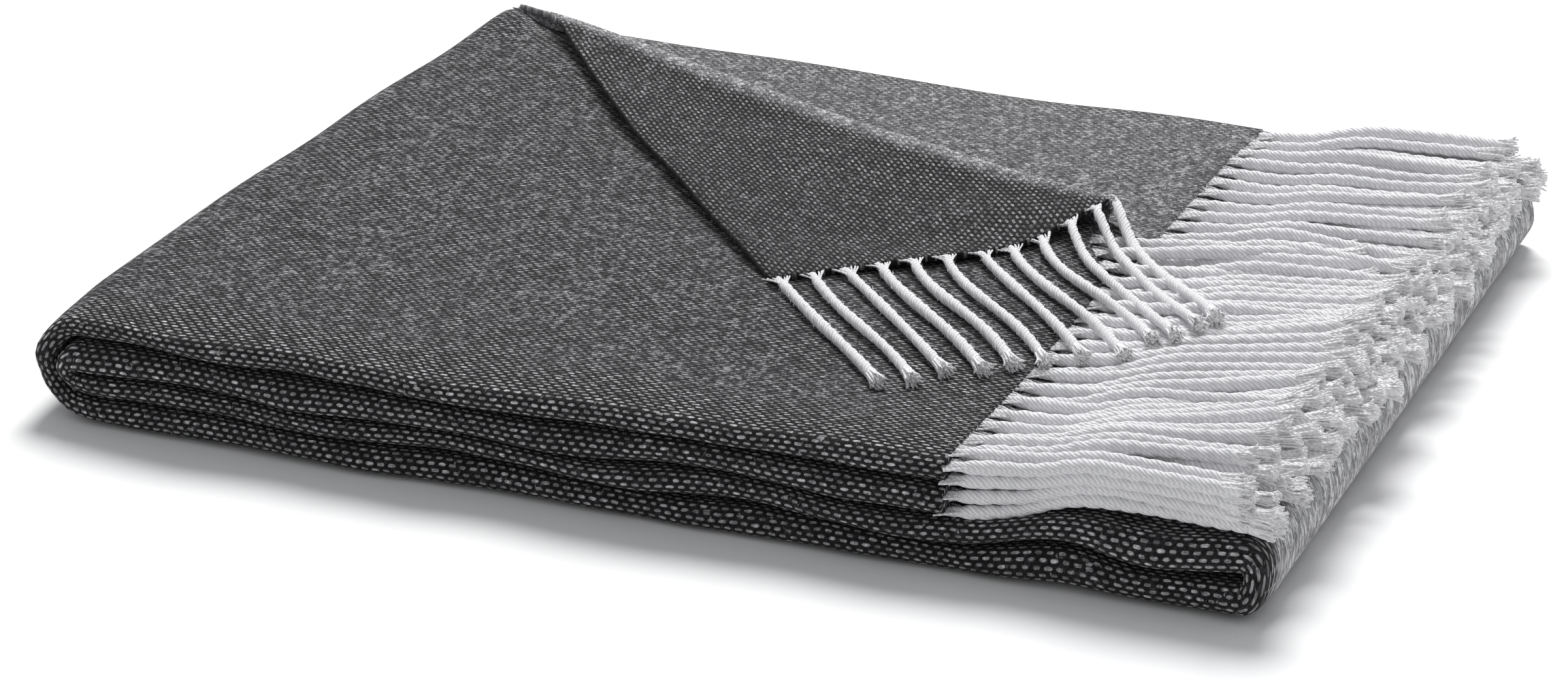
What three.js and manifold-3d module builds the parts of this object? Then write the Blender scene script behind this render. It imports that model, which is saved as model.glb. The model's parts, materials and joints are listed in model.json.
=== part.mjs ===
// Folded throw blanket: one woven cloth with twisted fringes on its two short ends.
// The cloth is folded in four across its width, so each layer holds four plies, and then
// in four along its length, so the stack holds four layers. The back corner of the top ply
// is turned over onto the stack, and swings on its crease.
// Millimetres, +Z up. X runs along the stack from the wrapped end to the fringed end,
// Y runs from the folded front edge to the back. The origin is the middle of the base.
import * as THREE from 'three';
import Module from 'manifold-3d';
import { mergeVertices } from 'three/addons/utils/BufferGeometryUtils.js';

// Driving dimensions
const STACK_LENGTH = 405; // along X, over both folds
const STACK_DEPTH = 325; // along Y, a quarter of the 1300 mm cloth width
const PLY = 2.25; // one thickness of lofty cloth
const PLIES_PER_LAYER = 4;
const CLOTH_END_X = 307; // where the cloth stops and the fringes start
const LAYER_GAP = 0.4; // air between two layers
const CLEARANCE = 0.3; // between touching pieces
const TASSELS_PER_PLY = 29;
const TASSEL_LENGTH = 95;
const TASSEL_WIDTH = 4.6;
const TASSEL_THICKNESS = 1.7;
const TASSEL_TIP_LENGTH = 6; // frayed end, narrower than the twist
const HEADER_LENGTH = 3; // heading that joins one row of tassels
const TIP_SPACING = 1.45; // height between two rows at their tips
const LOWEST_TIP_HEIGHT = 1.275; // middle of the lowest tips above the third layer
const CREASE_START_X = 17; // the crease leaves the back edge here
const CREASE_END_Y = 194; // and reaches the fringed edge here
const RECESS_DEPTH = 2.4; // step down behind the crease, where the top ply is missing
const CORNER_THICKNESS = 1.7; // cloth of the turned corner, pressed flat
const CREASE_SETBACK = 1; // cloth taken up by the roll of the crease
const CREASE_POINT_SETBACK = 3; // the corner's sharp end stops short of the back edge
const OUTER_ARC_STEPS = 16;
const INNER_ARC_STEPS = 8;

// Derived dimensions
const LAYER = PLY * PLIES_PER_LAYER;
const STACK_HEIGHT = 4 * LAYER;
const MID_HEIGHT = 2 * LAYER;
const TASSEL_PITCH = STACK_DEPTH / TASSELS_PER_PLY;
const TASSELS_ON_STACK = Math.floor(CREASE_END_Y / TASSEL_PITCH); // the rest turn with the corner
const FRINGE_ROWS = 2 * PLIES_PER_LAYER; // two cloth ends of four plies lie on each other
const creaseStart = new THREE.Vector3(CREASE_START_X, STACK_DEPTH, STACK_HEIGHT);
const creaseEnd = new THREE.Vector3(CLOTH_END_X, CREASE_END_Y, STACK_HEIGHT);
const creaseDirection = creaseEnd.clone().sub(creaseStart).normalize();
const intoCorner = new THREE.Vector3(-creaseDirection.y, creaseDirection.x, 0);

const clothMaterial = () => new THREE.MeshStandardMaterial({
  color: 0x4b4b4e, roughness: 0.95, metalness: 0,
});
const fringeMaterial = () => new THREE.MeshStandardMaterial({
  color: 0xd8d6d9, roughness: 0.9, metalness: 0,
});

function namedMesh(name, geometry, material) {
  const mesh = new THREE.Mesh(geometry, material);
  mesh.name = name;
  return mesh;
}

function polygon(points) {
  return new THREE.Shape(points.map(([x, y]) => new THREE.Vector2(x, y)));
}

function slab(points, thickness) {
  return new THREE.ExtrudeGeometry(polygon(points), { depth: thickness, bevelEnabled: false });
}

// Centre line of the length folds in the XZ plane, as points with their normals:
// top layer, outer wrap, bottom layer, end fold, third layer, inner wrap, second layer.
function foldCentreLine() {
  const line = [];
  const half = LAYER / 2;
  const arc = (cx, cz, radius, from, to, steps) => {
    for (let i = 0; i <= steps; i += 1) {
      const a = from + ((to - from) * i) / steps;
      const turn = Math.sign(to - from);
      const n = [-Math.cos(a) * turn, -Math.sin(a) * turn];
      line.push({ p: [cx + radius * Math.cos(a), cz + radius * Math.sin(a)], n });
    }
  };
  const quarter = Math.PI / 2;
  line.push({ p: [CLOTH_END_X, STACK_HEIGHT - half], n: [0, -1] });
  arc(MID_HEIGHT, MID_HEIGHT, 3 * half, quarter, 3 * quarter, OUTER_ARC_STEPS);
  arc(STACK_LENGTH - LAYER, LAYER, half, -quarter, quarter, INNER_ARC_STEPS);
  arc(MID_HEIGHT, MID_HEIGHT, half, 3 * quarter, quarter, INNER_ARC_STEPS);
  line.push({ p: [CLOTH_END_X, MID_HEIGHT + half], n: [0, 1] });
  return line;
}

// The folded cloth without its turned corner: the centre line thickened to one layer.
function foldedCloth() {
  const halfThickness = (LAYER - LAYER_GAP) / 2;
  const side = (sign) => foldCentreLine().map(({ p, n }) => [
    p[0] + sign * halfThickness * n[0],
    p[1] + sign * halfThickness * n[1],
  ]);
  const outline = [...side(1), ...side(-1).reverse()];
  const geometry = slab(outline, STACK_DEPTH);
  geometry.rotateX(Math.PI / 2);
  geometry.translate(0, STACK_DEPTH, -LAYER_GAP / 2);
  return geometry;
}

// The space that the turned corner leaves in the top layer, past the cloth on every side.
function cornerRecess() {
  const margin = 40;
  const start = creaseStart.clone().addScaledVector(creaseDirection, -margin);
  const end = creaseEnd.clone().addScaledVector(creaseDirection, margin);
  const reach = intoCorner.clone().multiplyScalar(STACK_DEPTH);
  const geometry = slab([
    [start.x, start.y],
    [end.x, end.y],
    [end.x + reach.x, end.y + reach.y],
    [start.x + reach.x, start.y + reach.y],
  ], RECESS_DEPTH + margin);
  geometry.translate(0, 0, STACK_HEIGHT - LAYER_GAP - RECESS_DEPTH);
  return geometry;
}

const wasm = await Module();
wasm.setup();

function toSolid(geometry) {
  const bare = geometry.index ? geometry.toNonIndexed() : geometry.clone();
  bare.deleteAttribute('normal');
  bare.deleteAttribute('uv');
  const merged = mergeVertices(bare, 1e-4);
  return new wasm.Manifold(new wasm.Mesh({
    numProp: 3,
    vertProperties: new Float32Array(merged.attributes.position.array),
    triVerts: new Uint32Array(merged.index.array),
  }));
}

function toGeometry(solid) {
  const { vertProperties, triVerts } = solid.getMesh();
  const geometry = new THREE.BufferGeometry();
  geometry.setAttribute('position', new THREE.BufferAttribute(vertProperties, 3));
  geometry.setIndex(new THREE.BufferAttribute(triVerts, 1));
  geometry.computeVertexNormals();
  return geometry;
}

function wovenPanel() {
  const solid = toSolid(foldedCloth()).subtract(toSolid(cornerRecess()));
  return namedMesh('woven_panel', toGeometry(solid), clothMaterial());
}

// Plan of one tassel, its root at the origin and its twist along +X.
function tasselPlan() {
  const half = TASSEL_WIDTH / 2;
  const shoulder = TASSEL_LENGTH - TASSEL_TIP_LENGTH;
  return [
    [0, -half],
    [shoulder, -half],
    [TASSEL_LENGTH, -half / 2],
    [TASSEL_LENGTH, half / 2],
    [shoulder, half],
    [0, half],
  ];
}

// Every second row lies half a pitch over, so that its tassels settle between those above
// and below.
function tasselCentreY(index, row) {
  const shift = row % 2 === 0 ? -TASSEL_PITCH / 4 : TASSEL_PITCH / 4;
  return (index + 0.5) * TASSEL_PITCH + shift;
}

// Rows count from the top of the pile down. A row sinks from its ply to its place at the tips.
function rowRootHeight(row) {
  return STACK_HEIGHT - LAYER_GAP - (row - 0.5) * PLY;
}

function rowTilt(row) {
  const tipHeight = MID_HEIGHT + LOWEST_TIP_HEIGHT + (FRINGE_ROWS - row) * TIP_SPACING;
  return Math.atan2(rowRootHeight(row) - tipHeight, TASSEL_LENGTH);
}

function placeRow(mesh, row, y) {
  mesh.position.set(CLOTH_END_X + CLEARANCE, y, rowRootHeight(row));
  mesh.rotation.y = rowTilt(row);
  return mesh;
}

// The tassels of the top ply that stay on the stack, each on its own.
function topTassels() {
  return Array.from({ length: TASSELS_ON_STACK }, (_, index) => {
    const geometry = slab(tasselPlan(), TASSEL_THICKNESS);
    geometry.translate(0, 0, -TASSEL_THICKNESS / 2);
    const name = `top_tassel_${String(index + 1).padStart(2, '0')}`;
    return placeRow(namedMesh(name, geometry, fringeMaterial()), 1, tasselCentreY(index, 1));
  });
}

// One lower row of the pile: every tassel of a ply on its heading.
function fringeRow(row) {
  const half = TASSEL_WIDTH / 2;
  const outline = [[0, 0]];
  for (let index = 0; index < TASSELS_PER_PLY; index += 1) {
    const y = tasselCentreY(index, row);
    outline.push([HEADER_LENGTH, y - half]);
    outline.push([TASSEL_LENGTH, y - half]);
    outline.push([TASSEL_LENGTH, y + half]);
    outline.push([HEADER_LENGTH, y + half]);
  }
  outline.push([0, STACK_DEPTH]);
  const geometry = slab(outline, TASSEL_THICKNESS);
  geometry.translate(0, 0, -TASSEL_THICKNESS / 2);
  return placeRow(namedMesh(`fringe_row_${row}`, geometry, fringeMaterial()), row, 0);
}

// The turned corner is drawn lying flat in its recess and then swung half a turn about the
// crease, which is what the hand that turned it did.
function turnedCorner() {
  const dropBelowCrease = CLEARANCE + CORNER_THICKNESS;
  const corner = new THREE.Group();
  const toHinge = creaseStart.clone().negate();

  const nearStart = creaseStart.clone()
    .addScaledVector(creaseDirection, CREASE_POINT_SETBACK)
    .addScaledVector(intoCorner, CREASE_SETBACK);
  const nearEnd = creaseEnd.clone().addScaledVector(intoCorner, CREASE_SETBACK);
  const cloth = slab([
    [nearStart.x, nearStart.y],
    [CLOTH_END_X, nearEnd.y],
    [CLOTH_END_X, STACK_DEPTH],
    [nearStart.x + CREASE_POINT_SETBACK, STACK_DEPTH],
  ], CORNER_THICKNESS);
  cloth.translate(toHinge.x, toHinge.y, -dropBelowCrease);
  corner.add(namedMesh('turned_corner', cloth, clothMaterial()));

  for (let index = TASSELS_ON_STACK; index < TASSELS_PER_PLY; index += 1) {
    const geometry = slab(tasselPlan(), TASSEL_THICKNESS - CLEARANCE);
    geometry.translate(
      CLOTH_END_X + CLEARANCE + toHinge.x,
      tasselCentreY(index, 1) + toHinge.y,
      -dropBelowCrease + CLEARANCE / 2,
    );
    const name = `corner_tassel_${String(TASSELS_PER_PLY - index).padStart(2, '0')}`;
    corner.add(namedMesh(name, geometry, fringeMaterial()));
  }
  corner.position.copy(creaseStart);
  corner.quaternion.setFromAxisAngle(creaseDirection, Math.PI);
  return corner;
}

const throwBlanket = new THREE.Group();
throwBlanket.add(wovenPanel());
throwBlanket.add(turnedCorner());
throwBlanket.add(...topTassels());
for (let row = 2; row <= FRINGE_ROWS; row += 1) {
  throwBlanket.add(fringeRow(row));
}
throwBlanket.position.set(-STACK_LENGTH / 2, -STACK_DEPTH / 2, 0);

export default throwBlanket;
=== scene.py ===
"""Looks of the folded throw: woven cloth, turned corner and twisted fringes.

Lengths in this file are millimetres in the stack's own coordinates: x from the wrapped end
to the fringed end, y from the folded front edge to the back, z up from the surface that the
stack rests on. in_frame() turns them into the row frame's metres.
"""
import json
import math

import bpy
import numpy as np
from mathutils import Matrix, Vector


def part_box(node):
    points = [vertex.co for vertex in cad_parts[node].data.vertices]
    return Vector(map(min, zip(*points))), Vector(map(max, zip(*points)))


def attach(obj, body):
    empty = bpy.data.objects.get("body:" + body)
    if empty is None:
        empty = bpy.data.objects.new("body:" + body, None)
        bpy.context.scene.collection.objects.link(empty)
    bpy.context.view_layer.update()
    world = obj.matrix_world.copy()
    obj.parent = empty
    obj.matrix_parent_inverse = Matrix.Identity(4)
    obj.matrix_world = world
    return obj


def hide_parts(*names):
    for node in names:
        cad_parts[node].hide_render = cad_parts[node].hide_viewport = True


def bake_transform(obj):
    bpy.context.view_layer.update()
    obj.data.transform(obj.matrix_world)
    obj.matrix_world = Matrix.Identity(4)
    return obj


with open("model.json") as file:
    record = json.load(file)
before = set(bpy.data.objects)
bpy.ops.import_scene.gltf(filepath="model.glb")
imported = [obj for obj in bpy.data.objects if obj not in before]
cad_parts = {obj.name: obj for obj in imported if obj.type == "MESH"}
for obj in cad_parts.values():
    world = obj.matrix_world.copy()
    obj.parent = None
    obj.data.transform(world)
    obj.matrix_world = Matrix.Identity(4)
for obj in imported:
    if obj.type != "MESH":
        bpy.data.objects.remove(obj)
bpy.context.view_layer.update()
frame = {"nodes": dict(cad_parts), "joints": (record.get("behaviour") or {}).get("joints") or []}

MM = 0.001


# ---------------------------------------------------------------- sizes from the frame

def box_mm(node):
    low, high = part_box(node)
    return np.array(low) / MM, np.array(high) / MM


panel_low, panel_high = box_mm("woven_panel")
row_low, _ = box_mm("fringe_row_2")
ORIGIN = np.array([panel_low[0], panel_low[1], 0.0])
LENGTH, DEPTH, HEIGHT = panel_high - ORIGIN
CLOTH_END = row_low[0] - ORIGIN[0]
LAYER = HEIGHT / 4
PLY = LAYER / 4
ROWS = 8
TASSELS_PER_ROW = 29
PITCH = DEPTH / TASSELS_PER_ROW
TOP_TASSELS = sorted(n for n in frame["nodes"] if n.startswith("top_tassel"))
CORNER_TASSELS = sorted(n for n in frame["nodes"] if n.startswith("corner_tassel"))

HINGE = frame["joints"][0]
hinge_point = np.array(HINGE["pos_m"]) / MM - ORIGIN
ALONG = -np.array(HINGE["axis"], float)[:2]  # along the crease, from the back edge to the fringe
FRONT = np.array([ALONG[1], -ALONG[0]])  # level, at right angles to the crease, towards the front
CREASE_START = hinge_point[:2] + ALONG * (DEPTH - hinge_point[1]) / ALONG[1]
CREASE_LENGTH = (CLOTH_END - CREASE_START[0]) / ALONG[0]
CREASE_END = CREASE_START + ALONG * CREASE_LENGTH

CLOTH_FILL = 0.93  # share of a ply's pitch that is cloth, the rest is air
STRAND_RADIUS = 2.15
STRAND_LENGTH = 95.0
TIER_HEIGHT = 3.35  # from one tier of fringes lying in the pile to the next
CREASE_PULL = 4.8  # how far the start of the crease pulls the stack's corner up
SELVAGE_RISE = 2.1  # how far the turned corner's selvage stands off the cloth below
BEHIND_FELT = 0.34  # the top ply behind the crease is brushed more than the rest
# share of pale felt on the crease roll, partly brushed nap and partly painted highlight
ROLL_FELT_AND_PAINTED_HIGHLIGHT = 0.6
GOLDEN_ANGLE = 2.399963
TIP_OPENING = 6.5  # the length over which a strand's tip opens
FLARE = 0.10
CORNER_THICKNESS = 0.82  # the turned corner's tassels are thinner than the others
STRAY_SHARE = 0.18


def in_frame(points):
    return (np.asarray(points, float) + ORIGIN) * MM


def smooth(t):
    t = np.clip(t, 0.0, 1.0)
    return t * t * (3 - 2 * t)


def lerp(a, b, t):
    return a + (b - a) * t


class Waves:
    """A soft random field: a sum of sines of about one wavelength, from a fixed seed."""

    def __init__(self, seed, wavelength, count=9):
        rng = np.random.default_rng(seed)
        directions = rng.normal(size=(count, 3))
        directions /= np.linalg.norm(directions, axis=1)[:, None]
        reach = rng.uniform(0.7, 1.5, (count, 1)) / np.asarray(wavelength, float)
        self.k = directions * reach * 2 * math.pi
        self.phase = rng.uniform(0, 2 * math.pi, count)
        self.scale = math.sqrt(2 / count)

    def __call__(self, points):
        return np.sin(np.asarray(points) @ self.k.T + self.phase).sum(-1) * self.scale


# ---------------------------------------------------------------- meshes

def grid_quads(rows, columns, start=0):
    index = np.arange(rows * columns).reshape(rows, columns) + start
    return np.stack(
        [index[:-1, :-1], index[1:, :-1], index[1:, 1:], index[:-1, 1:]], -1
    ).reshape(-1, 4)


def make_object(name, points, quads, corner_uv, attributes=None):
    mesh = bpy.data.meshes.new(name)
    mesh.vertices.add(len(points))
    mesh.vertices.foreach_set("co", in_frame(points).astype(np.float32).ravel())
    mesh.loops.add(quads.size)
    mesh.loops.foreach_set("vertex_index", quads.astype(np.int32).ravel())
    mesh.polygons.add(len(quads))
    mesh.polygons.foreach_set("loop_start", np.arange(0, quads.size, 4, dtype=np.int32))
    mesh.update(calc_edges=True)
    layer = mesh.uv_layers.new(name="flat")
    layer.data.foreach_set("uv", corner_uv.astype(np.float32).ravel())
    for key, values in (attributes or {}).items():
        mesh.attributes.new(key, "FLOAT", "POINT").data.foreach_set(
            "value", np.asarray(values, np.float32).ravel()
        )
    mesh.shade_smooth()
    mesh.validate()
    piece = bpy.data.objects.new(name, mesh)
    bpy.context.scene.collection.objects.link(piece)
    return piece


def grid_normals(grid):
    along = np.gradient(grid, axis=0)
    across = np.gradient(grid, axis=1)
    normal = np.cross(across, along)
    return normal / np.maximum(np.linalg.norm(normal, axis=-1, keepdims=True), 1e-9)


def thick_sheet(name, grid, uv, thickness, attributes):
    """A closed cloth from the grid of its middle surface: two faces and a rim."""
    rows, columns = grid.shape[:2]
    count = rows * columns
    offset = grid_normals(grid) * np.broadcast_to(thickness, (rows, columns))[..., None] / 2
    points = np.concatenate([(grid + offset).reshape(-1, 3), (grid - offset).reshape(-1, 3)])
    upper = grid_quads(rows, columns)
    lower = upper[:, ::-1] + count
    index = np.arange(count).reshape(rows, columns)
    loop = np.concatenate([index[0, :], index[1:, -1], index[-1, -2::-1], index[-2:0:-1, 0]])
    after = np.roll(loop, -1)
    rim = np.stack([loop, after, after + count, loop + count], -1)
    quads = np.concatenate([upper, lower, rim])
    doubled = {k: np.concatenate([v[0].ravel(), v[1].ravel()]) for k, v in attributes.items()}
    flat = np.concatenate([uv.reshape(-1, 2)] * 2)
    return make_object(name, points, quads, flat[quads.ravel()], doubled)


# ---------------------------------------------------------------- how the stack has settled

front_wave = Waves(11, (70, 400, 16))
layer_wave = Waves(12, (95, 120, 20))
top_wave = Waves(13, (110, 90, 200))
edge_wave = Waves(14, (26, 400, 14))
END_LOFT_FRONT, END_LOFT_BACK = 9.0, 6.0


def bell(value, centre, width):
    return np.exp(-(((value - centre) / width) ** 2))


def end_loft(x, y):
    """How much the free end fold under the fringes swells, because nothing presses on it."""
    reach = smooth((x - CLOTH_END - 4.0) / 42.0)
    return lerp(END_LOFT_FRONT, END_LOFT_BACK, smooth(y / DEPTH)) * reach


def settle(points):
    """Moves points of the ideal stack to where the soft stack has them."""
    p = np.array(points, float)
    x, y, z = p[..., 0], p[..., 1], p[..., 2]
    height = z / HEIGHT
    near_front = 1 - smooth(y / 40.0)
    near_back = smooth((y - DEPTH + 45.0) / 45.0)
    free = np.clip(height * (1.35 - height) * 3.2, 0, 1)
    dz = end_loft(x, y) * np.clip(z / (2 * LAYER), 0, 1)
    dz = dz + 0.75 * layer_wave(p) * free * (0.35 + 0.65 * near_front)
    dz = dz + 0.45 * top_wave(p) * smooth((height - 0.5) * 2)
    # the groove between the two lowest layers winds where the end fold swells
    groove = np.clip(1 - np.abs(z / LAYER - 1), 0, 1) * (1 - smooth((y - 5.0) / 30.0))
    dz = dz + groove * (2.2 * bell(x, 341, 16) - 3.0 * bell(x, 366, 20))
    dy = (1.15 * front_wave(p) + 0.4 * edge_wave(p)) * near_front * (0.4 + 0.6 * free)
    dy = dy + 1.0 * front_wave(p + 500.0) * near_back
    # the back edge sinks, because its folds are pressed by nothing but their own weight
    dz = dz - 3.0 * near_back * smooth((x - 90.0) / 160.0) * height * (x < CLOTH_END + 1)
    # where the crease starts, it pulls the corner of the stack up
    dz = dz + CREASE_PULL * bell(x, 20, 10.5) * smooth((y - 282.0) / 40.0) * height ** 2
    # the wrapped end is not quite square
    left = 1 - smooth((x - 10.0) / 80.0)
    front_left = (1 - smooth(x / 34.0)) * (1 - smooth(y / 42.0))
    dx = -left * (3.4 * smooth((y - 12.0) / 90.0) - 1.6 * smooth((y - 210.0) / 80.0))
    dx = dx + 1.4 * front_left
    dy = dy + 3.2 * (1 - smooth(x / 26.0)) * (1 - smooth(y / 30.0))
    dz = dz + front_left * lerp(1.6, -2.4, height)
    return p + np.stack([dx, dy, dz], -1)


# ---------------------------------------------------------------- the folded cloth

def straight(start, end, normal, step):
    count = max(2, int(round(math.dist(start, end) / step)))
    t = np.linspace(0, 1, count + 1)[:, None]
    points = (1 - t) * np.array(start, float) + t * np.array(end, float)
    return points, np.tile(np.array(normal, float), (count + 1, 1))


def turn(centre, radius, first, last, count, outward):
    a = np.radians(np.linspace(first, last, count + 1))[:, None]
    radial = np.concatenate([np.cos(a), np.sin(a)], 1)
    return np.array(centre, float) + radius * radial, radial * (1 if outward else -1)


def joined(pieces):
    points = np.concatenate([pieces[0][0]] + [p[0][1:] for p in pieces[1:]])
    normals = np.concatenate([pieces[0][1]] + [p[1][1:] for p in pieces[1:]])
    steps = np.linalg.norm(np.diff(points, axis=0), axis=1)
    return points, normals, np.concatenate([[0], np.cumsum(steps)])


def length_path():
    """The four layers along the stack, in (x, z), from the top layer's fringe to the next's."""
    h = LAYER
    mid = 2 * h
    step = 5.5
    return joined([
        straight((CLOTH_END, 3.5 * h), (mid, 3.5 * h), (0, 1), step),
        turn((mid, mid), 1.5 * h, 90, 270, 22, True),
        straight((mid, 0.5 * h), (LENGTH - h, 0.5 * h), (0, -1), step),
        turn((LENGTH - h, h), 0.5 * h, -90, 90, 14, True),
        straight((LENGTH - h, 1.5 * h), (mid, 1.5 * h), (0, 1), step),
        turn((mid, mid), 0.5 * h, 270, 90, 10, False),
        straight((mid, 2.5 * h), (CLOTH_END, 2.5 * h), (0, -1), step),
    ])


def width_path():
    """The four plies of one layer, in (y, offset from the layer's middle), selvage to selvage."""
    t = PLY
    front = 1.5 * t
    back = DEPTH - 0.8
    return joined([
        straight((back, 1.5 * t), (front, 1.5 * t), (0, 1), 6.0),
        turn((front, 0), 1.5 * t, 90, 270, 14, True),
        straight((front, -1.5 * t), (back - 1.5, -1.5 * t), (0, -1), 13.0),
        turn((back - 1.5, -t), 0.5 * t, -90, 90, 6, True),
        straight((back - 1.5, -0.5 * t), (1.6 * t, -0.5 * t), (0, 1), 14.0),
        turn((1.6 * t, 0), 0.5 * t, 270, 90, 6, False),
        straight((1.6 * t, 0.5 * t), (back - 1.0, 0.5 * t), (0, -1), 14.0),
    ])


def thin_front(offset, y):
    """The front folds of a layer are thinner than the layer, which leaves grooves between."""
    return offset * (1 - 0.24 * (1 - smooth((y - 1.0) / 14.0)))


def crease_y(x):
    return CREASE_START[1] + (x - CREASE_START[0]) * ALONG[1] / ALONG[0]


def fringe_inset(distance):
    """How far the top ply's fringed edge is drawn back, by distance in front of the crease."""
    width = np.where(np.asarray(distance) > 0, 30.0, 20.0)
    return 20.0 * bell(distance, 0.0, width)


def folded_cloth():
    path, path_normal, v_length = length_path()
    section, _, u_length = width_path()
    offset = thin_front(section[:, 1], section[:, 0])
    x = path[:, None, 0] + path_normal[:, None, 0] * offset[None, :]
    z = path[:, None, 1] + path_normal[:, None, 1] * offset[None, :]
    y = np.broadcast_to(section[None, :, 0], x.shape).copy()

    # the top ply stops at the crease, where the turned corner takes over
    top_run = int(np.argmin(np.abs(v_length - (CLOTH_END - 2 * LAYER))))
    outer_ply = int(np.argmin(section[:, 0] + 1000 * (section[:, 1] < PLY)))
    rows = np.arange(x.shape[0])[:, None]
    columns = np.arange(x.shape[1])[None, :]
    in_top = (rows <= top_run) & (columns <= outer_ply)
    limit = np.clip(crease_y(x), 0, section[0, 0])
    share = (y - section[outer_ply, 0]) / (section[0, 0] - section[outer_ply, 0])
    y = np.where(in_top, section[outer_ply, 0] + share * (limit - section[outer_ply, 0]), y)
    inset = fringe_inset(CREASE_END[1] - y) * smooth((x - CLOTH_END + 90) / 90)
    x = np.where(in_top, x - inset, x)

    uv = np.stack([
        np.broadcast_to(u_length[None, :], x.shape),
        np.broadcast_to(v_length[:, None], x.shape),
    ], -1).copy()
    uv[..., 0] = np.where(in_top, section[0, 0] - y, uv[..., 0])
    ideal = np.stack([x, y, z], -1)
    grid = settle(ideal)

    top_ply = columns <= outer_ply
    from_front = smooth((y - 6.0) / 26.0)
    nap = np.where(top_ply, 0.10 + 0.44 * from_front, 0.05 + 0.6 * from_front)
    # painted light: the free end fold is coloured as pale felt, partly felt and partly painted
    # light on its turned side
    end_fold_felt_and_painted_light = smooth((ideal[..., 0] - LENGTH + 1.1 * LAYER) / (0.8 * LAYER))
    felt_and_painted_light = end_fold_felt_and_painted_light * smooth((y - 3.0) / 16.0)
    worn = smooth((ideal[..., 0] - CLOTH_END + 55.0) / 45.0) * (ideal[..., 0] < CLOTH_END + 1)
    nap = nap * (1 - 0.55 * worn * (1 - smooth((y - 40.0) / 60.0)))
    behind = (rows <= top_run + 4) | (rows >= x.shape[0] - top_run - 4)
    behind = behind & (y > crease_y(ideal[..., 0]) - 6.0)
    felt_and_painted_light = np.maximum(felt_and_painted_light, np.where(behind, BEHIND_FELT, 0.0))
    nap = np.maximum(nap, felt_and_painted_light)
    wrap = smooth((2 * LAYER - ideal[..., 0]) / LAYER)
    nap = np.where(top_ply, np.maximum(nap, wrap * smooth((y - 5.0) / 12.0)), nap)
    selvage = np.minimum(u_length[None, :], u_length[-1] - u_length[None, :])
    nap = nap * (0.35 + 0.65 * smooth(selvage / 10.0))
    attributes = {"nap": (nap, nap), "felt_and_painted_light": (felt_and_painted_light, felt_and_painted_light)}
    return thick_sheet("folded_cloth", grid, uv * MM, PLY * CLOTH_FILL, attributes)


# ---------------------------------------------------------------- the turned corner

flap_wave = Waves(21, (75, 60, 300))


def roll_radius(a):
    """Radius of the soft roll at the crease, which closes to a point at the back edge."""
    middle = 2.0 + 0.5 * bell(a, 26, 20) + 1.6 * bell(a, CREASE_LENGTH, 45)
    return middle * smooth((a + 2.0) / 26.0) + 0.45


def corner_point(a, q):
    """Where the cloth lies that is a along the crease and q past it, in the turned corner."""
    radius = roll_radius(a)
    base = HEIGHT - PLY / 2
    arc = math.pi * radius
    angle = np.clip(q / radius, 0, math.pi)
    past = np.maximum(q - arc, 0)
    past = past + arc * smooth(past / 60.0)
    ahead = np.where(q < arc, -radius * np.sin(angle), past)
    on_stack = base + PLY
    fade = 9.0 + 3.0 * radius + 13.0 * bell(a, CREASE_LENGTH, 35)
    lift = np.maximum(2 * radius - PLY, 0) * np.exp(-((past / fade) ** 1.5))
    height = np.where(q < arc, base + radius * (1 - np.cos(angle)), on_stack + lift)
    xy = CREASE_START + a[..., None] * ALONG + ahead[..., None] * FRONT
    point = np.concatenate([xy, height[..., None]], -1)
    rest = point.copy()
    rest[..., 2] = HEIGHT
    loose = smooth(past / 25.0)
    ripple = 0.25 + (0.5 + 0.55 * flap_wave(point)) * loose
    point = point + settle(rest) - rest
    # the selvage stands off the cloth below, least of all at the corner's tip
    from_selvage = DEPTH - corner_flat_xy(a, q)[..., 1]
    raised = smooth(a / 20.0) * (1 - smooth((a - 205.0) / 60.0))
    raised = raised * (1 - smooth(from_selvage / 34.0))
    point[..., 2] += ripple + SELVAGE_RISE * raised * smooth(past / 8.0)
    return point


def corner_reach(a):
    """Flat distance from the crease to the cloth's own edge."""
    slope = -ALONG[1] / ALONG[0]
    foot = (CLOTH_END - CREASE_START[0]) * ALONG[0]
    return np.where(a <= foot, a * slope, (CREASE_LENGTH - a) / slope), foot


def corner_flat_xy(a, q):
    """The same place in the cloth when the corner lies flat."""
    return CREASE_START + a[..., None] * ALONG - q[..., None] * FRONT


def inset_along(a, q):
    """The fringed edge near the crease is drawn back along the flat cloth's length."""
    flat = corner_flat_xy(a, q)
    inset = fringe_inset(flat[..., 1] - CREASE_END[1])
    inset = inset * smooth((flat[..., 0] - CLOTH_END + 90) / 90)
    shift = inset[..., None] * np.array([-1.0, 0.0])
    return a + shift @ ALONG, q + shift @ (-FRONT)


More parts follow.
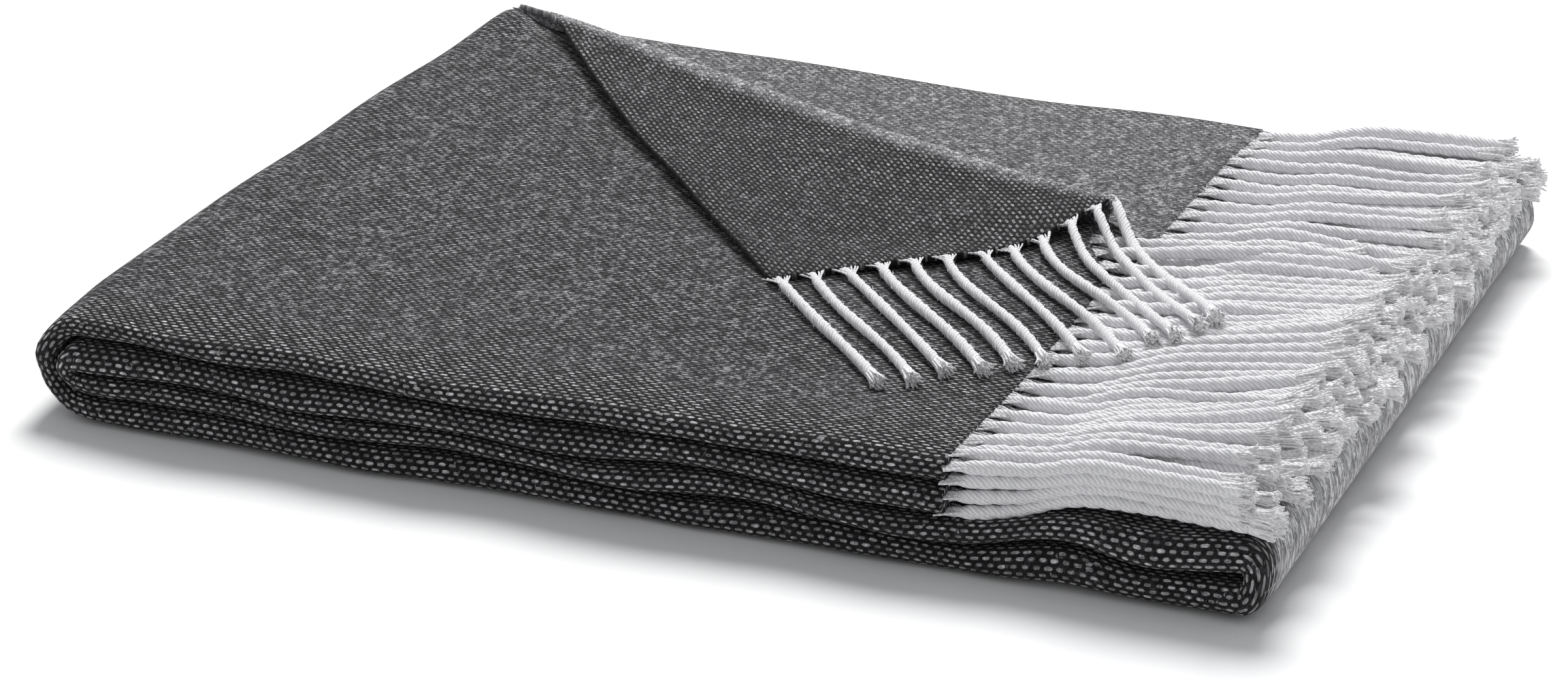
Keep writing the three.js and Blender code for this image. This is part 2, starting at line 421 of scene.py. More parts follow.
def corner_cloth():
    _, foot = corner_reach(np.zeros(1))
    a_line = np.concatenate([
        np.linspace(1.5, foot, 82)[:-1], np.linspace(foot, CREASE_LENGTH - 0.4, 30),
    ])
    share = np.linspace(0, 1, 44) ** 1.25
    reach, _ = corner_reach(a_line)
    a = np.broadcast_to(a_line[:, None], (len(a_line), len(share)))
    q = reach[:, None] * share[None, :]
    a_in, q_in = inset_along(a, q)
    a_in = np.where(q > 0.3, lerp(a, a_in, smooth(q / 6.0)), a)
    grid = corner_point(a_in, np.maximum(q_in, 0))
    flat = corner_flat_xy(a, q)
    uv = np.stack([DEPTH - flat[..., 1], CLOTH_END - flat[..., 0]], -1)
    edge = np.minimum(uv[..., 0], uv[..., 1])
    clear = smooth((a - 25.0) / 110.0) * (1 - smooth((q - 20.0) / 75.0))
    # painted highlight: the roll at the crease is coloured as pale felt and nap, partly brushed
    # cloth and partly a highlight on its top
    roll = 1 - smooth((q - 2.6 * roll_radius(a)) / 14.0)
    top_nap = np.maximum(lerp(0.42, 0.28, clear), roll) * (0.7 + 0.3 * smooth(edge / 6.0))
    felt_and_painted_light = ROLL_FELT_AND_PAINTED_HIGHLIGHT * roll
    reverse = 1 - roll
    attributes = {
        "nap": (top_nap, top_nap), "felt_and_painted_light": (felt_and_painted_light, felt_and_painted_light), "reverse": (reverse, reverse),
    }
    return thick_sheet("turned_corner_cloth", grid, uv * MM, PLY * CLOTH_FILL, attributes)


# ---------------------------------------------------------------- twisted tassels

def frames_along(path):
    """Tangent, level side and upward directions at each point of a path."""
    tangent = np.gradient(path, axis=0)
    tangent /= np.linalg.norm(tangent, axis=1, keepdims=True)
    side = np.cross(tangent, (0, 0, 1.0))
    side /= np.maximum(np.linalg.norm(side, axis=1, keepdims=True), 1e-6)
    return tangent, side, np.cross(side, tangent)


def cap_quads(ring):
    """Closes a ring with an even number of points by strips across it."""
    half = len(ring) // 2
    return [[ring[i], ring[i + 1], ring[-i - 2], ring[-i - 1]] for i in range(half - 1)]


class Yarns:
    """Collects tubes into one mesh."""

    def __init__(self):
        self.points, self.quads, self.uv, self.loose, self.count = [], [], [], [], 0

    def tube(self, path, radius, sides, profile=None, start_v=0.0, loose=0.0):
        """profile(angle, distance) scales the radius round the tube."""
        path = np.asarray(path, float)
        steps = np.linalg.norm(np.diff(path, axis=0), axis=1)
        distance = np.concatenate([[0], np.cumsum(steps)])
        _, side, up = frames_along(path)
        angle = np.linspace(0, 2 * math.pi, sides, endpoint=False)
        r = np.broadcast_to(radius, (len(path),))[:, None] * np.ones(sides)
        if profile is not None:
            r = r * profile(angle[None, :], distance[:, None])
        ring = (
            path[:, None] + side[:, None] * (r * np.cos(angle))[..., None]
            + up[:, None] * (r * np.sin(angle))[..., None]
        )
        n = len(path)
        index = np.arange(n * sides).reshape(n, sides) + self.count
        after = np.roll(index, -1, axis=1)
        body = np.stack([index[:-1], after[:-1], after[1:], index[1:]], -1).reshape(-1, 4)
        caps = cap_quads(list(index[0][::-1])) + cap_quads(list(index[-1]))
        self.points.append(ring.reshape(-1, 3))
        self.quads.append(np.concatenate([body, np.array(caps)]))
        scale = float(np.max(radius)) / STRAND_RADIUS
        turn = np.arange(sides) / sides * scale
        ahead = turn + scale / sides
        near, far = distance[:-1, None] + start_v, distance[1:, None] + start_v
        corners = [(turn, near), (ahead, near), (ahead, far), (turn, far)]
        wide = (n - 1, sides)
        uv = np.stack([
            np.stack([np.broadcast_to(u, wide), np.broadcast_to(v, wide)], -1) for u, v in corners
        ], 2)
        self.uv += [uv.reshape(-1, 2), np.zeros((4 * len(caps), 2))]
        self.loose.append(np.broadcast_to(loose, n * sides))
        self.count += n * sides

    def fibre(self, start, bend, end, width):
        """One stray fibre: a thin bent strip."""
        across = np.cross(end - start, (0.3, 0.5, 0.8))
        across = across / max(np.linalg.norm(across), 1e-6) * width / 2
        rows = np.array([
            start - across, start + across, bend - across, bend + across,
            end - across * 0.3, end + across * 0.3,
        ])
        quads = np.array([[0, 1, 3, 2], [2, 3, 5, 4]]) + self.count
        self.points.append(rows)
        self.quads.append(quads)
        self.uv.append(np.zeros((8, 2)))
        # painted light: stray fibres are marked to be coloured brighter
        self.loose.append(np.ones(6))
        self.count += 6

    def make(self, name):
        return make_object(
            name, np.concatenate(self.points), np.concatenate(self.quads),
            np.concatenate(self.uv), {"loose": np.concatenate(self.loose)},
        )


def resample(points, count):
    """Even steps along a smooth curve through the points."""
    points = np.asarray(points, float)
    for _ in range(3):  # corner cutting leaves a smooth curve
        cut = np.empty((2 * len(points) - 2, 3))
        cut[0::2] = 0.75 * points[:-1] + 0.25 * points[1:]
        cut[1::2] = 0.25 * points[:-1] + 0.75 * points[1:]
        points = np.concatenate([points[:1], cut, points[-1:]])
    steps = np.linalg.norm(np.diff(points, axis=0), axis=1)
    distance = np.concatenate([[0], np.cumsum(steps)])
    wanted = np.linspace(0, distance[-1], count)
    return np.stack([np.interp(wanted, distance, points[:, i]) for i in range(3)], 1)


TWIST = 2 * math.pi / 11.0  # one full turn of the two plies in 11 mm


def outward(side, up, angle):
    return side * math.cos(angle) + up * math.sin(angle)


def root_fan(yarns, path, tangent, up, edge, inward, rng, count, gather):
    """The cloth's own yarns, drawn together from the edge into the tassel."""
    root = path[0]
    for j in range(count):
        spread = lerp(-5.2, 5.2, (j + 0.5) / count) + rng.normal(0, 0.3)
        start = root + edge * spread + inward * rng.uniform(0.8, 2.4) + up[0] * 0.3
        first = root + edge * spread * 0.85 - inward * 1.0 + up[0] * rng.uniform(0.3, 0.9)
        second = root + edge * spread * 0.40 + tangent[0] * 4.4 + up[0] * rng.uniform(0.1, 0.9)
        end = gather + edge * spread * 0.10 + up[0] * rng.uniform(-0.2, 0.9)
        line = resample([start, first, second, end], 8)
        yarns.tube(line, rng.uniform(0.26, 0.38), 5, start_v=j * 3.1)


def tuft(yarns, end, tangent, side, up, rng, count, swell):
    """The frayed tip: the twist opens into a brush of fine yarns."""
    for j in range(count):
        around = j * GOLDEN_ANGLE + rng.normal(0, 0.2)  # fills the brush evenly
        spread = math.sqrt((j + 0.6) / count)
        out = outward(side, up, around)
        bend = outward(side, up, rng.uniform(0, 2 * math.pi)) * rng.uniform(0, 1.0)
        reach = rng.uniform(1.6, 3.8) - 0.5 * spread
        start = end - tangent * 5.5 + out * swell * 0.85 * spread
        first = end - tangent * 2.6 + out * swell * 1.10 * spread
        second = end + out * swell * 1.30 * spread
        tip = end + tangent * reach + out * swell * rng.uniform(1.35, 2.0) * spread + bend
        line = resample([start, first, second, tip], 6)
        # painted light: the brush's yarns are marked to be coloured brighter
        yarns.tube(line, np.linspace(0.40, 0.30, 6), 4, start_v=j * 2.3, loose=1.0)


def twisted_strand(
    yarns, path, rng, fine=True, edge=(0, 1.0, 0), inward=(-1.0, 0, 0), thickness=1.0
):
    """A tassel: yarns gathered from the cloth's edge, two plies twisted, a frayed tip."""
    count = 104 if fine else 58
    sides = 14 if fine else 10
    path = resample(path, count)
    total = np.linalg.norm(np.diff(path, axis=0), axis=1).sum()
    share = np.linspace(0, 1, count)
    distance = share * total
    phase = rng.uniform(0, math.pi)
    swell = STRAND_RADIUS * rng.uniform(0.92, 1.06) * thickness
    depth = rng.uniform(0.20, 0.30)
    radius = swell * (0.58 + 0.42 * smooth(distance / 10.0))
    radius = radius * (1 + 0.06 * np.sin(distance / 6.0 + phase))
    flare = smooth((distance - total + TIP_OPENING) / TIP_OPENING)
    radius = radius * (1 + FLARE * flare)

    def plies(angle, along):
        lobe = np.abs(np.cos(angle + TWIST * along + phase)) ** 0.8
        return 1.04 - depth + depth * lobe

    # the last rings close the flared end in a shallow dome
    dome = path[-1] + (path[-1] - path[-2]) * np.array([0.9, 1.5, 1.9])[:, None]
    ends = radius[-1] * np.array([0.93, 0.7, 0.3])
    body, body_radius = np.concatenate([path, dome]), np.concatenate([radius, ends])
    # painted light: the opening tip and its dome are marked to be coloured brighter than the strand
    brushed_painted_light = np.concatenate([flare, np.ones(3)])
    yarns.tube(body, body_radius, sides, plies, loose=np.repeat(brushed_painted_light, sides))
    tangent, side, up = frames_along(path)
    gather = path[min(count - 1, int(count * 9.0 / total))]
    edge, inward = np.array(edge, float), np.array(inward, float)
    root_fan(yarns, path, tangent, up, edge, inward, rng, 9 if fine else 5, gather)
    tuft(yarns, path[-1], tangent[-1], side[-1], up[-1], rng, 46 if fine else 30, swell)
    for _ in range(150 if fine else 40):
        at = int(rng.integers(2, count - 1))
        out = outward(side[at], up[at], rng.uniform(0, 2 * math.pi))
        start = path[at] + out * radius[at] * 0.9
        lean = tangent[at] * rng.normal(0, 1.6)
        rise = out * rng.uniform(0.4, 1.1)
        yarns.fibre(start, start + rise * 0.6 + lean * 0.5, start + rise + lean, 0.10)


pile_wave = Waves(31, (230, 60, 400))
lift_wave = Waves(32, (90, 30, 400))
FRONT_LIMIT, BACK_LIMIT = 4.6, 1.2  # how near the pile comes to the stack's front and back


def row_centre_y(index, row):
    shift = -PITCH / 4 if row % 2 == 0 else PITCH / 4
    return (index + 0.5) * PITCH + shift


def pile_floor(x, y):
    """Top of the layer that the fringes lie on."""
    return 2 * LAYER + end_loft(x, y)


def tier_rest(x, y, tier):
    return pile_floor(x, y) + STRAND_RADIUS + TIER_HEIGHT * tier


def top_edge_x(y):
    return CLOTH_END - fringe_inset(CREASE_END[1] - y)


def comb(y, share):
    """Sideways drift of the fringes: first they sag to the front, then they sweep to the back."""
    sweep = 26.0 * smooth(y / 45.0) * (1 - smooth((y - 70.0) / 220.0))
    sweep = sweep + 4.0 * smooth((y - 280.0) / 30.0)
    sag = 7.0 * (bell(y, 50, 22) + 0.4 * bell(y, 150, 50) + 0.9 * bell(y, 262, 35))
    return sweep * share ** 1.6 - sag * math.sin(math.pi * share)


def pile_path(row, index, rng, edge_x):
    """A tassel of one row, from its ply to its tier in the pile."""
    tier = (ROWS - row) // 2
    y0 = row_centre_y(index, row)
    tier_shift = PITCH / 8 if tier % 2 else -PITCH / 8
    reach = STRAND_LENGTH - 3.6 * tier + rng.normal(0, 2.2)
    drift = rng.normal(0, 2.4)
    wave = rng.uniform(-0.9, 0.9)
    stray = rng.uniform() < STRAY_SHARE
    drift = drift + (rng.uniform(8, 17) * rng.choice([-1, 1]) if stray else 0)
    follow = lerp(0.5, 1.0, tier / 3)
    root_z = settle(np.array([CLOTH_END, y0, HEIGHT - (row - 0.5) * PLY]))[2]
    tip_z = tier_rest(LENGTH - 10.0, y0, tier)
    points = []
    for share in np.linspace(0, 1, 13):
        x = edge_x + reach * share
        group = pile_wave(np.array([x, y0, 0.0])) * 2.2 * smooth(share * 1.5)
        y = y0 + tier_shift * smooth(share * 2) + group + comb(y0, share) * follow
        y = y + drift * share ** 1.5 + wave * math.sin(share * 7.0 + index)
        limit = FRONT_LIMIT if share > 0.12 else 1.5
        y = np.clip(y, limit + 0.5 * wave, DEPTH - BACK_LIMIT)
        resting = lerp(root_z, tier_rest(x, y, tier), smooth(share * 2.6))
        z = max(resting, lerp(root_z, tip_z, share))
        z = z + 0.3 * lift_wave(np.array([x, y0, row * 3.0])) * smooth(share * 4)
        z = z + (2.2 * math.sin(math.pi * share) if stray and row <= 2 else 0)
        points.append([x, y, z])
    return points


def tassel_rng(row, index):
    return np.random.default_rng(1000 * row + index)


def fringe_row(row):
    yarns = Yarns()
    for index in range(TASSELS_PER_ROW):
        rng = tassel_rng(row, index)
        edge_x = CLOTH_END + 0.6 + rng.normal(0, 0.4)
        path = pile_path(row, index, rng, edge_x)
        twisted_strand(yarns, path, rng, fine=row <= 2 or index < 2)
    return yarns.make(f"fringe_row_{row}_yarn")


def top_tassel(index):
    yarns = Yarns()
    rng = tassel_rng(1, index)
    edge_x = top_edge_x(row_centre_y(index, 1)) + 0.6
    twisted_strand(yarns, pile_path(1, index, rng, edge_x), rng)
    return yarns.make(f"top_tassel_yarn_{index + 1:02d}")


def ground_height(x, y):
    """Top of whatever a tassel of the turned corner lies on: cloth, or the pile of fringes."""
    on_cloth = settle(np.array([min(x, CLOTH_END), y, HEIGHT]))[2]
    pile_top = pile_floor(x, y) + 4 * TIER_HEIGHT + 0.9
    return lerp(on_cloth, pile_top, smooth((x - top_edge_x(y)) / 40.0))


def corner_place(x, y):
    """Where a point of the flat corner is, once turned."""
    offset = np.array([x, y]) - CREASE_START
    a, q = inset_along(np.array(offset @ ALONG), np.array(offset @ -FRONT))
    return corner_point(a, np.maximum(q, 0.0))


def corner_tassel(number):
    """Number 1 is at the corner's tip."""
    yarns = Yarns()
    rng = tassel_rng(20, number)
    last = len(CORNER_TASSELS)
    # the roll at the crease draws the last roots together
    y = row_centre_y(TASSELS_PER_ROW - number + 0.2 * max(number - last + 5, 0), 1)
    root = corner_place(CLOTH_END, y)
    edge = corner_place(CLOTH_END, min(y + 2, DEPTH)) - corner_place(CLOTH_END, y - 2)
    edge = edge / np.linalg.norm(edge)
    inward = (corner_place(CLOTH_END - 2, y) - root) / 2
    heading = ALONG * ALONG[0] + FRONT * (-FRONT[0])  # the fringe's own direction, mirrored
    across = np.array([-heading[1], heading[0]])
    bend = 1.6 + rng.normal(0, 0.8)
    over_roll = smooth((number - last + 3) / 1.5)  # these hang down from the roll
    lean = -3.0 * smooth((number - last + 7) / 2.0) - 5.0 * over_roll + rng.normal(0, 1.2)
    reach = STRAND_LENGTH - 7.0 + 7.0 * smooth((number - last + 6) / 2.0) + 7.0 * over_roll
    reach = reach + rng.normal(0, 1.5)
    points = [root, root - inward * 2.5 + [0, 0, 0.3 + 0.9 * over_roll]]
    for share in np.linspace(0.08, 1, 12):
        sway = -bend * math.sin(share * 2 * math.pi * 0.93) + lean * share
        xy = root[:2] + heading * reach * share + across * sway
        z = ground_height(*xy) + STRAND_RADIUS
        z = lerp(points[1][2], z, smooth((share - 0.04) * 4.5))
        points.append([xy[0], xy[1], z])
    twisted_strand(yarns, points, rng, edge=edge, inward=inward, thickness=CORNER_THICKNESS)
    return yarns.make(f"corner_tassel_yarn_{number:02d}")


# ---------------------------------------------------------------- materials

class Graph:
    """Short names for the shader nodes that the materials use."""

    def __init__(self, name):
        self.material = bpy.data.materials.new(name)
        self.material.use_nodes = True
        self.tree = self.material.node_tree
        self.shader = self.tree.nodes["Principled BSDF"]

    def link(self, value, socket):
        if isinstance(value, bpy.types.NodeSocket):
            self.tree.links.new(value, socket)
        else:
            socket.default_value = value

    def math(self, operation, a, b=0.0, clamp=False):
        node = self.tree.nodes.new("ShaderNodeMath")
        node.operation = operation
        node.use_clamp = clamp
        self.link(a, node.inputs[0])
        self.link(b, node.inputs[1])
        return node.outputs[0]

    def ramp(self, value, low, high, to_low=0.0, to_high=1.0):
        node = self.tree.nodes.new("ShaderNodeMapRange")
        node.interpolation_type = "SMOOTHSTEP"
        for socket, item in zip(node.inputs, (value, low, high, to_low, to_high)):
            self.link(item, socket)
        return node.outputs[0]

    def mix(self, factor, a, b):
        node = self.tree.nodes.new("ShaderNodeMix")
        node.data_type = "RGBA"
        self.link(factor, node.inputs["Factor"])
        for value, socket in ((a, node.inputs[6]), (b, node.inputs[7])):
            self.link((*value, 1.0) if isinstance(value, tuple) else value, socket)
        return node.outputs[2]

    def blend(self, factor, a, b):
        return self.math("ADD", self.math("MULTIPLY", self.math("SUBTRACT", b, a), factor), a)

    def vector(self, x, y, z=0.0):
        node = self.tree.nodes.new("ShaderNodeCombineXYZ")
        for value, socket in zip((x, y, z), node.inputs):
            self.link(value, socket)
        return node.outputs[0]

    def noise(self, vector, scale=1.0, detail=2.0, roughness=0.5):
        node = self.tree.nodes.new("ShaderNodeTexNoise")
        self.link(vector, node.inputs["Vector"])
        self.link(scale, node.inputs["Scale"])
        self.link(detail, node.inputs["Detail"])
        self.link(roughness, node.inputs["Roughness"])
        return node.outputs[0]

    def white(self, vector):
        node = self.tree.nodes.new("ShaderNodeTexWhiteNoise")
        self.link(vector, node.inputs["Vector"])
        return node.outputs[0]

    def attribute(self, name):
        node = self.tree.nodes.new("ShaderNodeAttribute")
        node.attribute_name = name
        return node.outputs["Fac"]

    def flat_mm(self):
        """Place in the flat cloth, in millimetres: across it, and along it."""
        node = self.tree.nodes.new("ShaderNodeUVMap")
        node.uv_map = "flat"
        parts = self.tree.nodes.new("ShaderNodeSeparateXYZ")
        self.link(node.outputs[0], parts.inputs[0])
        return [self.math("MULTIPLY", parts.outputs[i], 1 / MM) for i in range(2)]

    def streaks(self, u, v, angle, long, thin, detail=2.0):
        """Fibres as stretched noise that lies at an angle to the cloth's length."""
        c, s = math.cos(angle), math.sin(angle)
        along = self.math("ADD", self.math("MULTIPLY", u, s), self.math("MULTIPLY", v, c))
        across = self.math("SUBTRACT", self.math("MULTIPLY", u, c), self.math("MULTIPLY", v, s))
        place = self.vector(
            self.math("DIVIDE", across, thin), self.math("DIVIDE", along, long), angle * 7
        )
        return self.noise(place, 1.0, detail)

    def bump(self, height, strength, distance):
        node = self.tree.nodes.new("ShaderNodeBump")
        self.link(height, node.inputs["Height"])
        node.inputs["Strength"].default_value = strength
        node.inputs["Distance"].default_value = distance
        self.tree.links.new(node.outputs[0], self.shader.inputs["Normal"])


WARP_PITCH = 1.58
WEFT_PERIOD = 3.5
GROUND = (0.0085, 0.0085, 0.0095)
GROUND_FIBRE = (0.040, 0.039, 0.042)
WARP_SHADE = (0.28, 0.278, 0.285)
WARP_LIGHT = (0.78, 0.775, 0.79)
NAP_DARK = (0.018, 0.018, 0.0195)
NAP_LIGHT = (0.29, 0.288, 0.298)
# the pale felt colour is partly painted light, for the free end fold and the crease roll
FELT_DARK = (0.125, 0.124, 0.129)
FELT_PALE_AND_PAINTED_LIGHT = (0.92, 0.915, 0.935)
FLECK = (0.62, 0.61, 0.62)


def cloth_material():
    g = Graph("charcoal_cloth")
    u, v = g.flat_mm()
    wander = g.noise(g.vector(g.math("DIVIDE", u, 7.0), g.math("DIVIDE", v, 7.0)), 1.0, 2.0)
    wander = g.math("SUBTRACT", wander, 0.5)
    column = g.math("ADD", g.math("DIVIDE", u, WARP_PITCH), g.math("MULTIPLY", wander, 0.5))
    warp = g.math("FLOOR", column)
    odd = g.math("MODULO", g.math("ABSOLUTE", warp), 2.0)
    run = g.math("ADD", g.math("DIVIDE", v, WEFT_PERIOD), g.math("MULTIPLY", odd, 0.5))
    run = g.math("ADD", run, g.math("MULTIPLY", wander, 0.25))
    cell = g.math("FLOOR", run)
    random = g.white(g.vector(warp, cell, 3.0))
    across = g.math("SUBTRACT", g.math("FRACT", column), 0.5)
    along = g.math("SUBTRACT", g.math("FRACT", run), 0.5)

    curl_u = g.math("ADD", u, g.math("MULTIPLY", g.noise(g.vector(u, v, 5.0), 0.42, 1.0), 5.0))
    curl_v = g.math("ADD", v, g.math("MULTIPLY", g.noise(g.vector(u, v, 9.0), 0.42, 1.0), 5.0))
    fibre = g.streaks(curl_u, curl_v, 0.35, 1.9, 0.50)
    cross_fibre = g.streaks(curl_u, curl_v, -0.85, 1.6, 0.42)
    fine = g.streaks(u, v, 0.08, 1.5, 0.20)
    fuzz = g.streaks(curl_u, curl_v, 1.9, 1.0, 0.30)
    grain = g.streaks(curl_u, curl_v, 0.25, 2.6, 1.5, 3.0)
    mottle = g.noise(g.vector(g.math("DIVIDE", u, 6.5), g.math("DIVIDE", v, 9.0)), 1.0, 2.0, 0.6)
    clump = g.vector(g.math("DIVIDE", curl_u, 3.4), g.math("DIVIDE", v, 2.4))
    clump = g.noise(clump, 1.0, 1.0, 0.6)
    slub = g.noise(g.vector(g.math("DIVIDE", u, 2.2), g.math("DIVIDE", curl_v, 1.5), 4.0), 1.0, 1.0)
    cloud = g.noise(g.vector(g.math("DIVIDE", u, 34.0), g.math("DIVIDE", v, 24.0)), 1.0, 3.0, 0.6)

    width = g.math("POWER", g.math("ABSOLUTE", g.math("DIVIDE", across, 0.31)), 2.4)
    reach = g.math("ABSOLUTE", g.math("DIVIDE", along, g.blend(random, 0.30, 0.40)))
    reach = g.math("POWER", reach, 3.0)
    inside = g.math("SUBTRACT", 1.0, g.math("ADD", width, reach))
    ragged = g.math("MULTIPLY", g.math("SUBTRACT", cross_fibre, 0.5), 1.3)
    dash = g.ramp(g.math("ADD", inside, ragged), -0.15, 0.55)

    ground = g.mix(g.ramp(fibre, 0.42, 0.75), GROUND, GROUND_FIBRE)
    yarn = g.mix(g.ramp(fine, 0.30, 0.62), WARP_SHADE, WARP_LIGHT)
    bright = g.math("MULTIPLY", g.blend(random, 0.55, 1.0), g.ramp(mottle, 0.3, 0.66, 0.60, 1.1))
    bright = g.math("MULTIPLY", bright, g.ramp(clump, 0.38, 0.62, 0.55, 1.2), clamp=True)
    # less of the light yarn comes through on the cloth's other face
    reverse = g.math("SUBTRACT", 1.0, g.math("MULTIPLY", g.attribute("reverse"), 0.42))
    bright = g.math("MULTIPLY", bright, reverse)
    weave = g.mix(g.math("MULTIPLY", dash, bright), ground, yarn)

    lay = g.math("MULTIPLY", g.ramp(fibre, 0.42, 0.68), 0.40)
    lay = g.math("ADD", lay, g.math("MULTIPLY", g.ramp(cross_fibre, 0.42, 0.70), 0.36))
    lay = g.math("ADD", lay, g.math("MULTIPLY", g.ramp(fuzz, 0.36, 0.68), 0.24))
    lay = g.math("MULTIPLY", lay, g.ramp(grain, 0.36, 0.66, 0.25, 2.0))
    lay = g.math("MULTIPLY", lay, g.ramp(mottle, 0.32, 0.68, 0.48, 1.65))
    lay = g.math("MULTIPLY", lay, g.ramp(cloud, 0.3, 0.7, 0.65, 1.45))
    lay = g.math("MULTIPLY", lay, g.ramp(clump, 0.40, 0.62, 0.10, 1.8))
    patchy = g.ramp(clump, 0.36, 0.62, 0.10, 0.85)
    patchy = g.math("MULTIPLY", patchy, g.ramp(mottle, 0.34, 0.66, 0.5, 1.2))
    through = g.math("MULTIPLY", dash, patchy)
    lay = g.math("ADD", g.math("MULTIPLY", lay, 0.72), through, clamp=True)
    nap_colour = g.mix(lay, NAP_DARK, NAP_LIGHT)
    soft = g.math("MULTIPLY", g.math("ADD", g.ramp(fibre, 0.36, 0.7), g.ramp(fuzz, 0.36, 0.7)), 0.3)
    soft = g.math("ADD", soft, g.math("MULTIPLY", lay, 0.85))
    felt_and_painted_light_colour = g.mix(soft, FELT_DARK, FELT_PALE_AND_PAINTED_LIGHT)
    knot = g.math("MULTIPLY", g.ramp(slub, 0.66, 0.74), g.ramp(cloud, 0.40, 0.60))

    nap = g.math("ADD", g.attribute("nap"), g.math("MULTIPLY", g.math("SUBTRACT", cloud, 0.5), 0.6))
    nap = g.math("ADD", nap, g.math("MULTIPLY", g.math("SUBTRACT", fibre, 0.5), 0.7))
    cover = g.ramp(nap, 0.22, 0.85)
    colour = g.mix(cover, weave, nap_colour)
    colour = g.mix(g.math("MULTIPLY", knot, 0.55), colour, FLECK)
    uneven = g.math("MULTIPLY", g.math("SUBTRACT", fibre, 0.5), 0.4)
    felt_and_painted_light = g.math("ADD", g.attribute("felt_and_painted_light"), uneven)
    # painted light: the felt mark lightens the free end fold and the crease roll, partly felt and
    # partly painted light and highlight
    colour = g.mix(g.ramp(felt_and_painted_light, 0.05, 1.0), colour, felt_and_painted_light_colour)
    g.link(colour, g.shader.inputs["Base Color"])
    g.shader.inputs["Roughness"].default_value = 0.95
    g.shader.inputs["Specular IOR Level"].default_value = 0.12
    g.shader.inputs["Sheen Weight"].default_value = 0.06
    g.shader.inputs["Sheen Roughness"].default_value = 0.6
    flat = g.math("SUBTRACT", 1.0, g.math("MULTIPLY", cover, 0.6))
    raised = g.math("MULTIPLY", g.ramp(inside, -0.7, 0.8), flat)
    hairs = g.math("MULTIPLY", g.math("ADD", lay, fuzz), 0.5)
    g.bump(g.math("ADD", raised, hairs), 1.0, 0.0009)
    return g.material


YARN_SHADE = (0.67, 0.665, 0.685)
YARN_LIGHT = (0.94, 0.935, 0.95)
YARN_LOOSE_PAINTED_LIGHT = (0.96, 0.955, 0.965)


def fringe_material():
    g = Graph("white_yarn")
    node = g.tree.nodes.new("ShaderNodeUVMap")
    node.uv_map = "flat"
    parts = g.tree.nodes.new("ShaderNodeSeparateXYZ")
    g.link(node.outputs[0], parts.inputs[0])
    turns, distance = parts.outputs[0], parts.outputs[1]
    # the yarns in a ply wind less steeply than the plies do
    winding = g.math("ADD", turns, g.math("MULTIPLY", distance, 1 / 13.0))
    place = g.vector(g.math("MULTIPLY", winding, 26.0), g.math("MULTIPLY", distance, 0.35))
    hair = g.noise(place, 1.0, 3.0, 0.65)
    swirl = g.math("MULTIPLY", g.math("SUBTRACT", hair, 0.5), 2.4)
    line = g.math("SINE", g.math("ADD", g.math("MULTIPLY", winding, 2 * math.pi * 8), swirl))
    line = g.ramp(line, -1.0, 0.6)
    height = g.math("ADD", line, g.math("MULTIPLY", hair, 0.6))
    # painted shade: the grooves between the twisted yarns are coloured darker, together with the
    # hairs' random tone
    painted_groove_shade_and_tone = g.math("ADD", g.math("MULTIPLY", line, 0.65), g.ramp(hair, 0.25, 0.75, 0.0, 0.35))
    colour = g.mix(painted_groove_shade_and_tone, YARN_SHADE, YARN_LIGHT)
    # painted light: loose yarns, the flared tips and stray fibres are coloured brighter than the
    # rest of the yarn
    colour = g.mix(g.math("MULTIPLY", g.attribute("loose"), 0.8), colour, YARN_LOOSE_PAINTED_LIGHT)
    g.link(colour, g.shader.inputs["Base Color"])
    g.shader.inputs["Roughness"].default_value = 0.9
    g.shader.inputs["Specular IOR Level"].default_value = 0.2
    g.shader.inputs["Sheen Weight"].default_value = 0.15
    g.shader.inputs["Sheen Roughness"].default_value = 0.5
    g.bump(height, 0.6, 0.0006)
    return g.material


# ---------------------------------------------------------------- putting it together

def build_object():
    cloth, yarn = cloth_material(), fringe_material()
    sheet = folded_cloth()
    corner = corner_cloth()
    sheet.data.materials.append(cloth)
    corner.data.materials.append(cloth)
    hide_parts("woven_panel")
    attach(sheet, "throw")

    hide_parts("turned_corner")
    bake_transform(corner)

    root_pieces, corner_pieces = [], []
    for row in range(2, ROWS + 1):
        piece = fringe_row(row)
        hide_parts(f"fringe_row_{row}")
        root_pieces.append(piece)
    for index, node in enumerate(TOP_TASSELS):
        piece = top_tassel(index)
        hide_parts(node)
        root_pieces.append(piece)
    for number, node in enumerate(CORNER_TASSELS, start=1):
        piece = corner_tassel(number)
        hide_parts(node)
        corner_pieces.append(piece)
    for pieces, body in ((root_pieces, "throw"), (corner_pieces, "corner")):
        for piece in pieces:
            piece.data.materials.append(yarn)
            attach(piece, body)


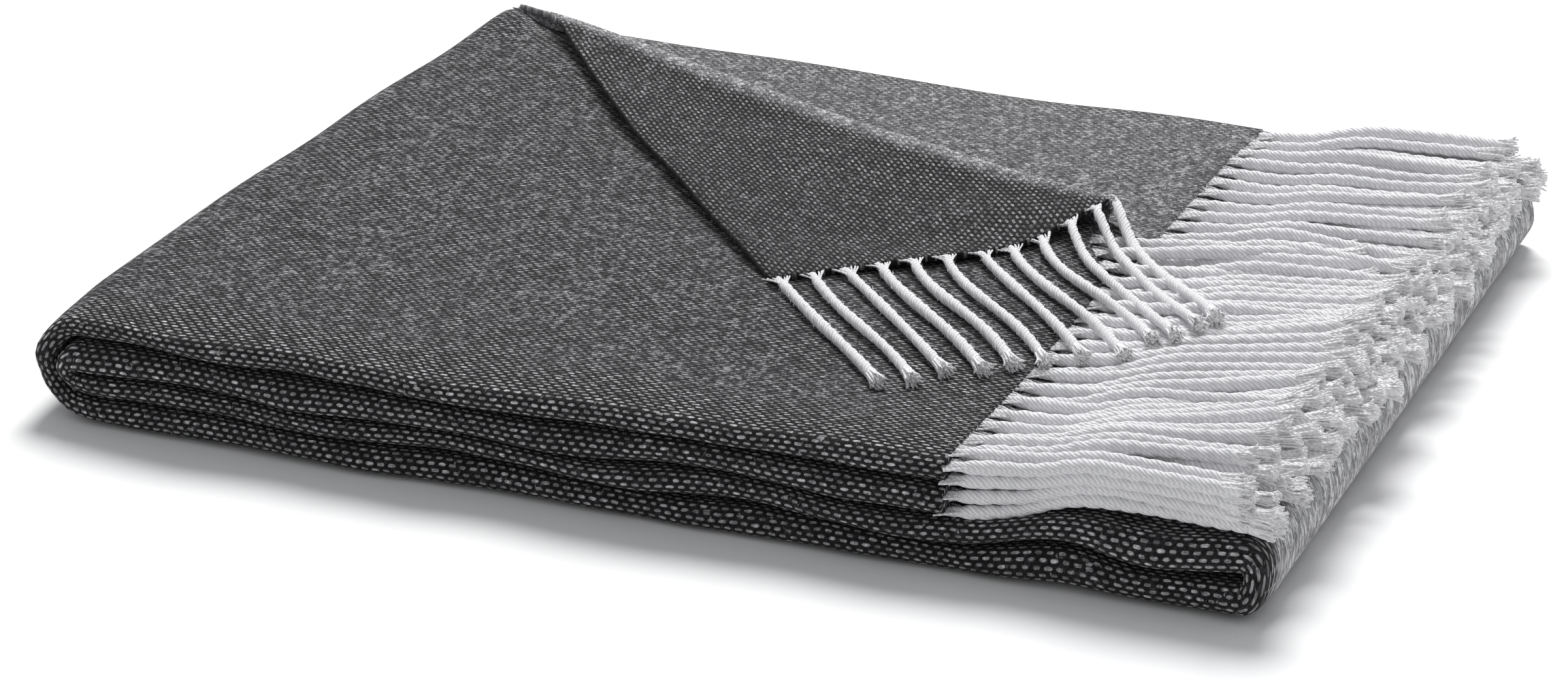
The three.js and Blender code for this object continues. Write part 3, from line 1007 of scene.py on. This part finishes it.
WORLD_STRENGTH = 0.44
KEY_PLACE, KEY_SIZE, KEY_POWER = (-0.38, 1.6, 2.5), 1.5, 99.0
AZIMUTH, ELEVATION = math.radians(22.2), math.radians(22.4)
DISTANCE, LENS, AIM = 1.384, 100.6, (0.0133, -0.0602, 0.018)


def area_light(name, location, target, size, energy):
    data = bpy.data.lights.new(name, "AREA")
    data.shape = "DISK"
    data.size = size
    data.energy = energy
    lamp = bpy.data.objects.new(name, data)
    lamp.location = location
    direction = Vector(target) - Vector(location)
    lamp.rotation_euler = direction.to_track_quat("-Z", "Y").to_euler()
    bpy.context.scene.collection.objects.link(lamp)


def floor():
    bpy.ops.mesh.primitive_plane_add(size=12, location=(0, 0, 0))
    plane = bpy.context.object
    plane.name = "floor"
    g = Graph("pale_floor")
    g.shader.inputs["Base Color"].default_value = (0.93, 0.93, 0.93, 1)
    g.shader.inputs["Roughness"].default_value = 0.9
    g.shader.inputs["Specular IOR Level"].default_value = 0.1
    plane.data.materials.append(g.material)


def studio():
    scene = bpy.context.scene
    world = bpy.data.worlds.new("studio")
    scene.world = world
    world.use_nodes = True
    background = world.node_tree.nodes["Background"]
    background.inputs["Color"].default_value = (0.97, 0.98, 1.0, 1)
    background.inputs["Strength"].default_value = WORLD_STRENGTH
    area_light("key", KEY_PLACE, (0, 0, 0), KEY_SIZE, KEY_POWER)
    scene.view_settings.view_transform = "Standard"


def camera():
    back = Vector((
        math.sin(AZIMUTH) * math.cos(ELEVATION),
        -math.cos(AZIMUTH) * math.cos(ELEVATION),
        math.sin(ELEVATION),
    ))
    data = bpy.data.cameras.new("camera")
    data.lens = LENS
    data.sensor_width = 36.0
    data.clip_start = 0.05
    eye = bpy.data.objects.new("camera", data)
    eye.location = Vector(AIM) + back * DISTANCE
    eye.rotation_euler = (-back).to_track_quat("-Z", "Y").to_euler()
    bpy.context.scene.collection.objects.link(eye)
    bpy.context.scene.camera = eye


camera()
build_object()
floor()
studio()

bpy.context.view_layer.update()
